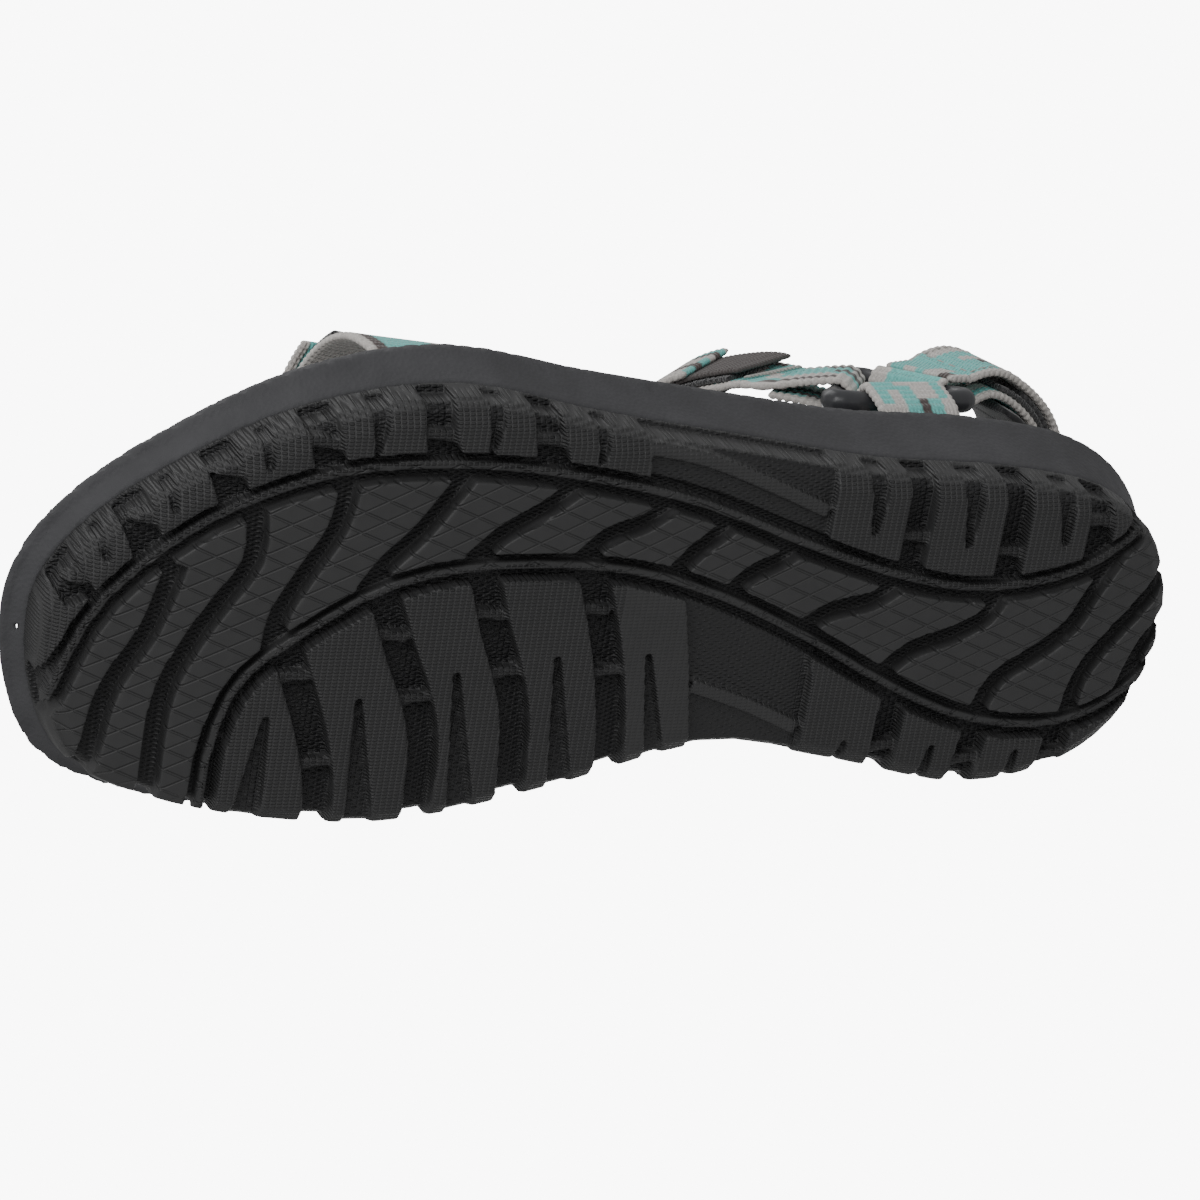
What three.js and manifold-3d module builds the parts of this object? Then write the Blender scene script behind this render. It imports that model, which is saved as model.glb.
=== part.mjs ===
// Strappy sport sandal for the left foot, in millimetres, +Z up.
// Toe towards -X, heel towards +X, outer (lateral) side towards -Y, inner (medial) side towards +Y.
import * as THREE from 'three';
import { mergeVertices } from 'three/addons/utils/BufferGeometryUtils.js';
import Module from 'manifold-3d';

const wasm = await Module();
wasm.setup();

// ---- Driving dimensions -------------------------------------------------------------------

const SOLE_LENGTH = 262;        // at the line where the outsole meets the midsole
const SOLE_WIDTH = 98;          // widest place of that line, across the ball of the foot
const TOE_SPRING = 7.6;         // how far the tread rises at the toe
const HEEL_BEVEL = 3.4;         // and at the back of the heel
const TOE_SPRING_SHARE = 0.32;  // share of the length that curves up at the toe
const HEEL_BEVEL_SHARE = 0.14;

const OUTSOLE_HEIGHT = 11.4;    // tread face to the top of the rubber side wall
const GROOVE_DEPTH = 4.0;       // main grooves between the lugs
const NOTCH_DEPTH = 2.3;        // wedges in the lugs and the arch panels
const SIDE_GROOVE = 1.9;        // how deep a groove bites into the side wall
const SIDE_NOTCH = 1.2;
const TREAD_EDGE_INSET = 4.7;   // the tread face is narrower than the side wall by this
const CUP_WALL = 2.6;           // rubber wall round the midsole
const CUP_FLOOR = 2.4;          // rubber under the midsole, above the groove floor

const MIDSOLE_FLARE = 4.2;      // the midsole's rim stands out from the outsole line
const RIM_WALL = 3.6;           // raised rim round the footbed
const RIM_HEIGHT = 4.4;         // rim top above the deck that the footbed is glued to
const FOOTBED_CUP = 2.4;        // the middle of the footbed lies lower than its edge

const GAP = 0.3;                // clearance between touching pieces
const STRAP_CLEARANCE = 0.35;   // round webbing where it passes through the sole

const WEBBING = 1.6;            // webbing thickness
const NARROW_WEBBING = 20;      // ankle straps
const WIDE_WEBBING = 25;        // toe strap
const PATCH = 1.1;              // hook or loop tape thickness
const PAD = 3.2;                // padded lining thickness
const TUCK_LENGTH = 15;         // webbing glued in under the footbed

const RING_BAR = 4.4;           // diameter of the triangular ring's bar
const RING_BASE_ROOM = 22.6;    // length left on the ring's bottom bar between webbings and bars
const RING_RISE_ROOM = 18.95;   // and on its height
const RING_CORNER = 5;          // from a corner to where its bend starts
const RING_PEAK_SHARE = 0.58;   // where the top corner stands along the bottom bar
const RING_HEIGHT = 11.5;       // bottom bar above the rim of the sole
const RING_LEAN = 0.22;         // rings lean in over the foot, per mm of height
const RING_PLACE = 0.782;       // middle of the bottom bar, as a share of the sole length

const TOE_STRAP_PLACE = { lateral: 0.315, medial: 0.265 };
const TOE_ARCH = 39;            // toe strap's height over the footbed rim
const INSTEP_ARCH = 69;         // instep strap's height over the footbed rim
const INSTEP_PLACE = 0.655;     // where the instep strap crosses the top of the foot
const INSTEP_SWING = 0.467;     // how far its sides have swung back, of its way back to the rings
const HEEL_STRAP_RISE = 35;     // middle of the heel strap above the rim
const HEEL_STRAP_SET_BACK = 7;  // heel strap's inside face, forward of the heel's end

// ---- Sole outline ---------------------------------------------------------------------------

// Half widths, as shares of SOLE_WIDTH, at shares of the length from the toe.
const LATERAL = [[0, 0.02], [0.03, 0.217], [0.1, 0.378], [0.2, 0.519], [0.32, 0.57], [0.45, 0.502],
  [0.58, 0.443], [0.7, 0.389], [0.82, 0.365], [0.92, 0.31], [0.975, 0.2], [1, -0.012]];
const MEDIAL = [[0, -0.02], [0.03, 0.266], [0.1, 0.366], [0.2, 0.419], [0.32, 0.43], [0.45, 0.36],
  [0.58, 0.272], [0.7, 0.326], [0.82, 0.395], [0.92, 0.347], [0.975, 0.231], [1, 0.012]];
// Height of the midsole's rim above the ground.
const RIM = [[0, 24.4], [0.15, 21.6], [0.3, 23.1], [0.45, 25.1], [0.6, 26.4], [0.75, 29.1], [1, 30.1]];

const STATIONS = 44;

// The angle round a circle whose shadow on the length falls at share t: it spaces points
// closely at the round ends.
const angleOf = (t) => Math.acos(1 - 2 * t);

// Smooth curve through a table of [share, value], read at share t.
function smooth(table, t, place = (u) => u) {
  const x = place(Math.min(Math.max(t, 0), 1));
  const xs = table.map(([u]) => place(u));
  const ys = table.map(([, v]) => v);
  let i = 0;
  while (i < xs.length - 2 && x > xs[i + 1]) i += 1;
  const slope = (k) => {
    const a = Math.max(k - 1, 0);
    const b = Math.min(k + 1, xs.length - 1);
    return (ys[b] - ys[a]) / (xs[b] - xs[a]);
  };
  const h = xs[i + 1] - xs[i];
  const s = (x - xs[i]) / h;
  const s2 = s * s;
  const s3 = s2 * s;
  return (2 * s3 - 3 * s2 + 1) * ys[i] + (s3 - 2 * s2 + s) * h * slope(i)
    + (3 * s2 - 2 * s3) * ys[i + 1] + (s3 - s2) * h * slope(i + 1);
}

const shareOf = (x) => x / SOLE_LENGTH + 0.5;
const along = (share) => (share - 0.5) * SOLE_LENGTH;

function ground(x) {
  const t = shareOf(x);
  const toe = Math.min(Math.max((TOE_SPRING_SHARE - t) / TOE_SPRING_SHARE, 0), 1.1);
  const heel = Math.min(Math.max((t - 1 + HEEL_BEVEL_SHARE) / HEEL_BEVEL_SHARE, 0), 1.1);
  return TOE_SPRING * toe * toe + HEEL_BEVEL * heel * heel;
}

const rimTop = (x) => smooth(RIM, shareOf(x));
const edge = (x, side) => side * SOLE_WIDTH
  * smooth(side < 0 ? LATERAL : MEDIAL, shareOf(x), angleOf);

function makeOutline() {
  const points = [];
  for (let i = 0; i < 2 * STATIONS; i += 1) {
    const side = i <= STATIONS ? -1 : 1;
    const k = i <= STATIONS ? i : 2 * STATIONS - i;
    const x = -Math.cos(Math.PI * k / STATIONS) * SOLE_LENGTH / 2;
    points.push(new THREE.Vector2(x, edge(x, side)));
  }
  return points;
}

const OUTLINE = makeOutline();
const OUTWARD = OUTLINE.map((_, i) => {
  const before = OUTLINE[(i + OUTLINE.length - 1) % OUTLINE.length];
  const after = OUTLINE[(i + 1) % OUTLINE.length];
  return new THREE.Vector2(after.y - before.y, before.x - after.x).normalize();
});

// A ring of points round the sole: the outline moved out by a distance, at a height that may
// depend on the place along the length.
function ringAt(out, height) {
  return OUTLINE.map((p, i) => {
    const x = p.x + OUTWARD[i].x * out;
    const y = p.y + OUTWARD[i].y * out;
    const z = typeof height === 'function' ? height(x) : height;
    return new THREE.Vector3(x, y, z);
  });
}

// ---- Solids ---------------------------------------------------------------------------------

function indexed(points, triangles) {
  const geometry = new THREE.BufferGeometry();
  const numbers = points.flatMap((p) => [p.x, p.y, p.z]);
  geometry.setAttribute('position', new THREE.Float32BufferAttribute(numbers, 3));
  geometry.setIndex(triangles);
  return geometry;
}

// Closed solid through rings of equal length, lowest or innermost first.
function loft(rings) {
  const n = rings[0].length;
  const triangles = [];
  for (let r = 0; r < rings.length - 1; r += 1) {
    for (let i = 0; i < n; i += 1) {
      const a = r * n + i;
      const b = r * n + (i + 1) % n;
      triangles.push(a, b, b + n, a, b + n, a + n);
    }
  }
  const last = (rings.length - 1) * n;
  const half = n / 2;
  for (let i = 0; i < half; i += 1) {
    const j = i + 1;
    const far = (n - i) % n;
    const farNext = n - j;
    if (far !== i) {
      triangles.push(i, far, j);
      triangles.push(last + i, last + j, last + far);
    }
    if (j !== farNext) {
      triangles.push(far, farNext, j);
      triangles.push(last + far, last + j, last + farNext);
    }
  }
  return indexed(rings.flat(), triangles);
}

// Webbing, tape or pad: a flat section swept along points, its width along a direction at each.
function ribbon(stations, width, thickness) {
  const points = [];
  const triangles = [];
  stations.forEach(({ at, across }, i) => {
    const before = stations[Math.max(i - 1, 0)].at;
    const after = stations[Math.min(i + 1, stations.length - 1)].at;
    const forward = after.clone().sub(before).normalize();
    const wide = across.clone().addScaledVector(forward, -across.dot(forward)).normalize();
    const up = wide.clone().cross(forward).normalize();
    for (const [w, u] of [[-1, -1], [1, -1], [1, 1], [-1, 1]]) {
      points.push(at.clone().addScaledVector(wide, w * width / 2).addScaledVector(up, u * thickness / 2));
    }
    if (i > 0) {
      const b = i * 4;
      for (let k = 0; k < 4; k += 1) {
        const next = (k + 1) % 4;
        triangles.push(b - 4 + k, b + next, b - 4 + next, b - 4 + k, b + k, b + next);
      }
    }
  });
  const e = (stations.length - 1) * 4;
  triangles.push(0, 2, 3, 0, 1, 2, e, e + 2, e + 1, e, e + 3, e + 2);
  return indexed(points, triangles);
}

function toManifold(geometry) {
  const bare = new THREE.BufferGeometry();
  bare.setAttribute('position', geometry.getAttribute('position').clone());
  if (geometry.index) bare.setIndex(geometry.index.clone());
  const merged = mergeVertices(bare, 1e-4);
  return new wasm.Manifold(new wasm.Mesh({
    numProp: 3,
    vertProperties: new Float32Array(merged.getAttribute('position').array),
    triVerts: new Uint32Array(merged.index.array),
  }));
}

function fromManifold(solid) {
  const mesh = solid.getMesh();
  const geometry = new THREE.BufferGeometry();
  geometry.setAttribute('position', new THREE.Float32BufferAttribute(mesh.vertProperties, 3));
  geometry.setIndex(Array.from(mesh.triVerts));
  return geometry;
}

const join = (solids) => solids.reduce((a, b) => a.add(b));

// ---- Tread ----------------------------------------------------------------------------------

// Plan positions of the tread pattern are drawn for a 262 x 98 sole and graded with it.
const plan = ([x, y]) => new THREE.Vector2(x * SOLE_LENGTH / 262, y * SOLE_WIDTH / 98);

const SWEEP_WIDTH = 6.2;        // the two grooves that sweep the whole length
const SWEEP_RIDGE = 1.9;        // raised line inside each of them
const BAND_GROOVE = 4.6;        // slanted grooves of the middle band
const LUG_GAP = 6.6;            // gaps between the side lugs
const TIE_BAR = 2.4;            // bars that tie neighbouring lugs together
const TIE_BAR_RECESS = 1.6;     // below the tread face

const MEDIAL_SWEEP = [[-92, 50], [-93.4, 28], [-89, 9], [-78, -2], [-60, -13.5], [-40, -18], [-18, -18],
  [0, -15.5], [20, -9], [40, 0.5], [60, 11.5], [80, 20.3], [100, 23.5], [116, 20.5], [128, 12], [138, 3]];
const LATERAL_SWEEP = [[-136, 36], [-127.5, 12], [-119.5, -9], [-103, -26], [-84, -36.3], [-64, -41],
  [-40, -41], [-15, -37.5], [10, -31.5], [35, -22], [60, -13.8], [80, -10.5], [100, -13], [114, -20], [130, -35]];
const BAND_GROOVES = [
  [[-120, 46], [-118, 24], [-115.5, 9], [-109, -4], [-105, -19]],
  [[-103, 50], [-105, 28], [-104, 9], [-97, -7], [-89.5, -20], [-90, -31]],
  [[-83, 0], [-82, -9], [-77, -19], [-72.5, -28], [-71, -39]],
  [[-65, -13], [-60.5, -20], [-54, -27], [-46, -39]],
  [[-42, -20], [-36, -26], [-28, -31], [-20, -37]],
  [[-18, -19], [-12, -25], [-4, -28], [3, -33]],
  [[4, -15], [9, -21], [16, -27]],
  [[18, -10], [23, -15.5], [29, -18.5], [33, -21.5]],
  [[37, -2], [44, -6.5], [53, -8.5], [60, -13]],
  [[58, 10], [65, 3.5], [75, 0], [82, -4], [85, -10]],
  [[84, 20], [88, 11], [97, 5], [104, -1], [108, -9], [113, -18]],
  [[107.5, 22], [109, 12], [114, 4], [121, -4], [127, -12], [133, -20]],
  [[121, 17], [124, 7], [129, 0], [136, -6]],
];
const SIDE_GAPS = [
  [[-123.3, -10], [-128, -17], [-133, -26]],
  [[-111, -21], [-115, -33], [-117, -48]],
  [[-94.6, -32], [-98, -44], [-98, -62]],
  [[-75, -39], [-78, -50], [-77, -66]],
  [[-50, -41], [-53.5, -50], [-52, -66]],
  [[-25.5, -38], [-29, -49], [-28, -62]],
  [[61, -13], [61.5, -46]],
  [[85, -11], [85, -46]],
  [[106.5, -17], [107, -46]],
  [[-79, 1], [-74, 13], [-70, 25], [-68, 36], [-68, 56]],
  [[-60, -12], [-54.5, 1], [-49, 13], [-46, 26], [-45.5, 52]],
  [[-38.5, -17], [-34.5, -5], [-29.5, 7], [-26, 20], [-23.5, 50]],
  [[-14, -17], [-8.5, -1], [-5, 13], [-3, 27], [-2.5, 46]],
  [[63.5, 12], [63, 28], [62.5, 50]],
  [[86, 21], [84, 32], [82.5, 54]],
  [[107.5, 23], [105.5, 32], [103.5, 52]],
];
// Narrow end, wide end and its width.
const WEDGES = [
  [[-119, -19], [-124, -33], 4], [[-106.5, -30], [-110, -48], 5], [[-88.5, -40], [-90, -60], 6],
  [[-66.5, -44], [-65.5, -64], 7], [[-41.5, -44.5], [-40, -62], 6.5], [[-16.5, -41.5], [-15, -58], 6.5],
  [[50.5, -24], [50.5, -46], 7], [[74, -20.5], [73.5, -46], 8], [[98, -20.5], [96.5, -44], 8.5],
  [[-82, 15], [-84, 50], 9], [[-62.5, 11], [-57, 50], 8], [[-41.5, 5.5], [-34, 48], 7.5],
  [[-19, 2.5], [-11.5, 45], 7], [[2, 2.5], [10.5, 40], 6],
  [[53, 25], [51.5, 44], 4.5], [[75, 27], [72.5, 48], 5.5], [[96.5, 29], [94, 50], 5.5],
];
const ARCH_PANELS = [
  [[-4, -34.5], [20, -26], [40, -18], [40, -52], [-8, -64]],
  [[16, 42], [15, 22], [12, 5], [8, -13], [26, -6], [40, 1.5], [42, 10], [42.5, 46]],
];
const ARCH_RIDGES = [
  [[-7, -45], [8, -42], [24, -36], [39, -29.5]],
  [[14, 11], [28, 16], [41, 22]],
];
const TIE_BARS = [
  [-126, -15], [-113.5, -29], [-97, -40], [-77, -46.5], [-53, -48.5], [-28.5, -47],
  [61.2, -23.5], [85, -19.5], [106.7, -26],
  [-69.3, 27], [-49, 12.5], [-29, 7], [-6, 7.5], [63, 28], [84, 32], [105.5, 32],
  [-76.5, 7], [-56.5, -3], [-35.5, -7.5], [-11.5, -8],
];

// Outline of a band that follows a curve, with its own width at each end.
function bandOutline(points, widthStart, widthEnd, steps) {
  const curve = new THREE.SplineCurve(points.map(plan));
  const left = [];
  const right = [];
  for (let i = 0; i <= steps; i += 1) {
    const t = i / steps;
    const at = curve.getPoint(t);
    const way = curve.getTangent(t);
    const half = (widthStart + (widthEnd - widthStart) * t) / 2;
    left.push(new THREE.Vector2(at.x - way.y * half, at.y + way.x * half));
    right.push(new THREE.Vector2(at.x + way.y * half, at.y - way.x * half));
  }
  return left.concat(right.reverse());
}

function prism(outline, low, high) {
  const geometry = new THREE.ExtrudeGeometry(new THREE.Shape(outline), {
    depth: high - low,
    bevelEnabled: false,
  });
  geometry.translate(0, 0, low);
  geometry.deleteAttribute('normal');
  geometry.deleteAttribute('uv');
  return toManifold(geometry);
}

const band = (points, width, low, high, widthEnd = width, steps = 3 * points.length - 3) =>
  prism(bandOutline(points, width, widthEnd, steps), low, high);

// Everything further in than the side wall and above a floor: grooves stop at it.
const core = (inset, floor) => toManifold(loft([
  ringAt(-inset - 1.5, floor),
  ringAt(-inset, floor + 1.5),
  ringAt(-inset, OUTSOLE_HEIGHT + 5),
]));

function barsAcrossGaps() {
  return TIE_BARS.map(([x, y]) => {
    const bar = [[x - 3.6, y], [x + 3.6, y + (y > 0 ? -1 : 1)]];
    return band(bar, TIE_BAR, TIE_BAR_RECESS, GROOVE_DEPTH + 1, TIE_BAR, 1);
  });
}

function makeOutsole() {
  const below = -1;
  const wallTop = OUTSOLE_HEIGHT - 1.3;
  const block = toManifold(loft([
    ringAt(-TREAD_EDGE_INSET, 0),
    ringAt(-TREAD_EDGE_INSET * 0.36, 1.7),
    ringAt(-0.5, 4.6),
    ringAt(0, OUTSOLE_HEIGHT),
  ]));
  const sweeps = [MEDIAL_SWEEP, LATERAL_SWEEP]
    .map((line) => band(line, SWEEP_WIDTH, below, wallTop, SWEEP_WIDTH, 40));
  const bandGrooves = BAND_GROOVES.map((line) => band(line, BAND_GROOVE, below, wallTop));
  const gaps = SIDE_GAPS.map((line) => band(line, LUG_GAP, below, wallTop));
  const wedges = WEDGES.map(([tip, base, width]) => band([tip, base], 1.4, below, wallTop - 1, width, 1));
  const panels = ARCH_PANELS.map((shape) => prism(shape.map(plan), below, wallTop));
  const ridges = [MEDIAL_SWEEP, LATERAL_SWEEP]
    .map((line) => band(line, SWEEP_RIDGE, 1.2, GROOVE_DEPTH + 1, SWEEP_RIDGE, 40));
  const archRidges = ARCH_RIDGES.map((line) => band(line, 3, 0.9, GROOVE_DEPTH + 1));
  const deep = join([...sweeps, ...bandGrooves, ...gaps]).subtract(core(SIDE_GROOVE, GROOVE_DEPTH));
  const shallow = join([...wedges, ...panels]).subtract(core(SIDE_NOTCH, NOTCH_DEPTH));
  const raised = join([...ridges, ...archRidges, ...barsAcrossGaps()]).intersect(block);
  const tread = block.subtract(deep).subtract(shallow).add(raised);
  const curved = tread.warp((v) => {
    v[2] += ground(v[0]);
  });
  const cupFloor = (x) => ground(x) + GROOVE_DEPTH + CUP_FLOOR;
  const cup = toManifold(loft([
    ringAt(-CUP_WALL - 0.6, cupFloor),
    ringAt(-CUP_WALL, (x) => ground(x) + OUTSOLE_HEIGHT + 3),
  ]));
  return fromManifold(curved.subtract(cup));
}

// ---- Midsole and footbed --------------------------------------------------------------------

const deck = (x) => rimTop(x) - RIM_HEIGHT;
const seam = (x) => ground(x) + OUTSOLE_HEIGHT + GAP;

function makeMidsole(passages) {
  const body = toManifold(loft([
    ringAt(-CUP_WALL - 0.6 - GAP, (x) => ground(x) + GROOVE_DEPTH + CUP_FLOOR + GAP),
    ringAt(-CUP_WALL - GAP, seam),
    ringAt(-0.2, seam),
    ringAt(MIDSOLE_FLARE * 0.55, (x) => (seam(x) + rimTop(x)) / 2),
    ringAt(MIDSOLE_FLARE, (x) => rimTop(x) - 2.6),
    ringAt(MIDSOLE_FLARE - 0.7, rimTop),
    ringAt(MIDSOLE_FLARE - RIM_WALL, rimTop),
    ringAt(MIDSOLE_FLARE - RIM_WALL - 0.2, deck),
  ]));
  return fromManifold(body.subtract(passages));
}

function makeFootbed(passages) {
  const out = MIDSOLE_FLARE - RIM_WALL - 0.2 - GAP;
  const body = toManifold(loft([
    ringAt(out, (x) => deck(x) + GAP),
    ringAt(out, (x) => rimTop(x) - 0.9),
    ringAt(out - 1.4, rimTop),
    ringAt(out - 9, (x) => rimTop(x) - FOOTBED_CUP * 0.65),
    ringAt(out - 17, (x) => rimTop(x) - FOOTBED_CUP),
  ]));
  return fromManifold(body.subtract(passages));
}

// ---- Triangular rings -----------------------------------------------------------------------

const vec = (x, y, z) => new THREE.Vector3(x, y, z);
const BAR_REACH = RING_BAR / 2 + STRAP_CLEARANCE + WEBBING / 2;  // bar's axis to webbing's middle
const RING_BASE = RING_BASE_ROOM + 4 * BAR_REACH;                // bottom bar, corner to corner
const RING_RISE = RING_RISE_ROOM + 3 * BAR_REACH;                // height, corner to corner

// Ring on one side: its corners, the way out of the foot, and a bar's middle and directions.
function ringOn(side) {
  const middle = along(RING_PLACE);
  const low = rimTop(middle) + RING_HEIGHT;
  const wall = edge(middle, side) + side;
  const at = (x, up) => vec(x, wall - side * RING_LEAN * up, low + up);
  const front = at(middle - RING_BASE / 2, 0);
  const rear = at(middle + RING_BASE / 2, 0);
  const top = at(middle - RING_BASE / 2 + RING_BASE * RING_PEAK_SHARE, RING_RISE);
  const out = vec(0, side, RING_LEAN).normalize();
  const centre = front.clone().add(rear).add(top).divideScalar(3);
  const bar = (a, b) => {
    const mid = a.clone().add(b).multiplyScalar(0.5);
    const way = b.clone().sub(a).normalize();
    const away = way.clone().cross(out).normalize();
    if (away.dot(mid.clone().sub(centre)) < 0) away.negate();
    return { mid, way: way.z < 0 ? way.negate() : way, away, out };
  };
  return { front, rear, top, out, bottomBar: bar(front, rear), frontBar: bar(front, top), rearBar: bar(rear, top) };
}

const RINGS = { lateral: ringOn(-1), medial: ringOn(1) };

// A round bar bent to the triangle, each corner turned on an arc.
function makeRing({ front, rear, top, out }) {
  const corners = [front, rear, top];
  const sides = 10;
  const path = [];
  corners.forEach((corner, i) => {
    const before = corners[(i + 2) % 3].clone().sub(corner).normalize();
    const after = corners[(i + 1) % 3].clone().sub(corner).normalize();
    const bend = new THREE.QuadraticBezierCurve3(
      corner.clone().addScaledVector(before, RING_CORNER),
      corner.clone(),
      corner.clone().addScaledVector(after, RING_CORNER),
    );
    path.push(...bend.getPoints(5));
  });
  const points = [];
  const triangles = [];
  path.forEach((at, i) => {
    const forward = path[(i + 1) % path.length].clone().sub(path[(i + path.length - 1) % path.length]).normalize();
    const inward = forward.clone().cross(out).normalize();
    for (let k = 0; k < sides; k += 1) {
      const angle = 2 * Math.PI * k / sides;
      points.push(at.clone().addScaledVector(inward, Math.cos(angle) * RING_BAR / 2)
        .addScaledVector(out, Math.sin(angle) * RING_BAR / 2));
      const next = (k + 1) % sides;
      const j = (i + 1) % path.length;
      triangles.push(i * sides + k, j * sides + next, i * sides + next);
      triangles.push(i * sides + k, j * sides + k, j * sides + next);
    }
  });
  return indexed(points, triangles);
}

// ---- Webbing paths --------------------------------------------------------------------------

// A route for webbing: [point, direction across the width] pairs on one smooth curve, read by
// its share of the way; lifted by a distance on the outer face.
function makeRoute(pairs) {
  const centre = new THREE.CatmullRomCurve3(pairs.map(([p]) => p), false, 'centripetal');
  const width = new THREE.CatmullRomCurve3(pairs.map(([, a]) => a), false, 'centripetal');
  const outward = (u, across) => centre.getTangent(u).cross(across).normalize();
  const flip = outward(0.5, width.getPoint(0.5)).z < 0 ? -1 : 1;
  return (u, lift) => {
    const across = width.getPoint(u).normalize();
    return { at: centre.getPoint(u).addScaledVector(outward(u, across), flip * lift), across };
  };
}

function stationsOn(route, from, to, steps, lift) {
  const stations = [];
  for (let i = 0; i <= steps; i += 1) {
    const u = from + (to - from) * i / steps;
    stations.push(route(u, typeof lift === 'function' ? lift(u) : lift));
  }
  return stations;
}

// Turn of webbing round a bar: half a circle from its inner face to its outer face.
function turnRound(bar, fromAngle, toAngle) {
  const steps = 7;
  const stations = [];
  for (let i = 0; i <= steps; i += 1) {
    const angle = fromAngle + (toAngle - fromAngle) * i / steps;
    const at = bar.mid.clone().addScaledVector(bar.out, -Math.cos(angle) * BAR_REACH)
      .addScaledVector(bar.away, -Math.sin(angle) * BAR_REACH);
    stations.push({ at, across: bar.way });
  }
  return stations;
}

const beside = (bar, away, out) => ({
  at: bar.mid.clone().addScaledVector(bar.away, away).addScaledVector(bar.out, out),
  across: bar.way,
});

const LAYER = WEBBING + 0.7;                                    // two webbings face to face
const LOOP_LIFT = WEBBING / 2 + GAP + PATCH / 2;                // loop tape on the webbing
const HOOK_LIFT = LOOP_LIFT + PATCH + GAP;                      // hook tape on the loop tape
const TAIL_LIFT = HOOK_LIFT + PATCH / 2 + GAP + WEBBING / 2;    // adjusting end over both
const PAD_LIFT = -(WEBBING / 2 + GAP + PAD / 2);                // padding under the webbing
const TACK = { length: 2.2, thickness: 0.5 };
const TACK_LIFT = WEBBING / 2 + 1.5 * GAP + TACK.thickness / 2 + 0.1;

// An ankle strap is sewn in a loop round one ring's bar, runs over the foot, turns round the
// other ring's bar and comes back on itself as the adjusting end.
function ankleStrap(sewn, turned, between, acrossTop) {
  const start = beside(sewn, 13, 0.9);
  const end = beside(turned, 9, -BAR_REACH + 0.6);
  const pairs = [
    [start.at, sewn.way],
    ...between.map((p, i) => {
      const s = (i + 1) / (between.length + 1);
      const weight = Math.sin(Math.PI * s) ** 0.7;
      const ends = sewn.way.clone().lerp(turned.way, s);
      return [p, ends.lerp(acrossTop, weight)];
    }),
    [end.at, turned.way],
  ];
  const route = makeRoute(pairs);
  const steps = 26;
  const base = [
    beside(sewn, 15, 0.9 - LAYER),
    beside(sewn, 8, -1.9),
    ...turnRound(sewn, 0, Math.PI),
    beside(sewn, 7, 2.2),
    ...stationsOn(route, 0, 1, steps, 0),
    ...turnRound(turned, 0, Math.PI),
  ];
  return { route, base };
}

function instepStrap() {
  const x = along(INSTEP_PLACE);
  const top = rimTop(x) + INSTEP_ARCH;
  const lateral = RINGS.lateral.frontBar;
  const medial = RINGS.medial.frontBar;
  const reach = (medial.mid.y - lateral.mid.y) / 2;
  const middle = (medial.mid.y + lateral.mid.y) / 2;
  const rise = top - lateral.mid.z;
  const run = (medial.mid.x + lateral.mid.x) / 2 - x;
  const place = (sideways, up, back) => vec(x + back * run, middle + sideways * reach, lateral.mid.z + up * rise);
  const between = [
    place(-0.86, 0.46, INSTEP_SWING),
    place(-0.6, 0.79, 0.417 * INSTEP_SWING),
    place(-0.28, 0.965, 0.083 * INSTEP_SWING),
    place(0.03, 1, 0),
    place(0.32, 0.95, 0.083 * INSTEP_SWING),
    place(0.62, 0.76, 0.417 * INSTEP_SWING),
    place(0.85, 0.45, INSTEP_SWING),
  ];
  return ankleStrap(lateral, medial, between, vec(0.77, 0, 0.64));
}

function heelStrap() {
  const lateral = RINGS.lateral.rearBar;
  const medial = RINGS.medial.rearBar;
  const back = SOLE_LENGTH / 2 - HEEL_STRAP_SET_BACK;
  const height = rimTop(back) + HEEL_STRAP_RISE;
  const reach = (medial.mid.y - lateral.mid.y) / 2;
  const middle = (medial.mid.y + lateral.mid.y) / 2;
  const run = back - (medial.mid.x + lateral.mid.x) / 2;
  const place = (sideways, forward, down) => vec(back - forward * run, middle + sideways * reach, height - down);
  const between = [
    place(0.96, 0.5545, 3), place(0.74, 0.2268, 1), place(0.4, 0.0504, 0), place(0, 0, 0),
    place(-0.4, 0.0504, 0), place(-0.74, 0.2268, 1), place(-0.96, 0.5545, 3),
  ];
  return ankleStrap(medial, lateral, between, vec(-0.12, 0, 1));
}

// Webbing that comes out of the sole beside the footbed, from its tuck under the footbed.
function rootOf(x, side) {
  const wall = edge(x, side) - side * 0.4;
  const floor = deck(x) - 0.9;
  const lengthwise = vec(1, 0, 0);
  return [
    { at: vec(x, wall - side * TUCK_LENGTH, floor), across: lengthwise },
    { at: vec(x, wall - side * 3, floor), across: lengthwise },
    { at: vec(x, wall - side * 0.8, floor + 0.8), across: lengthwise },
    { at: vec(x, wall, floor + 3), across: lengthwise },
    { at: vec(x, wall, rimTop(x) + 0.5), across: lengthwise },
  ];
}

function quarterStrap(side) {
  const { bottomBar: bar } = RINGS[side < 0 ? 'lateral' : 'medial'];
  const turn = turnRound(bar, 0, Math.PI).reverse();
  const lower = beside(bar, 7.5, 0.2);
  const returnEnd = beside(bar, 6, -1.9);
  return [...rootOf(bar.mid.x, side), lower, ...turn, returnEnd]
    .map(({ at }) => ({ at, across: vec(1, 0, 0) }));
}

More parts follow.
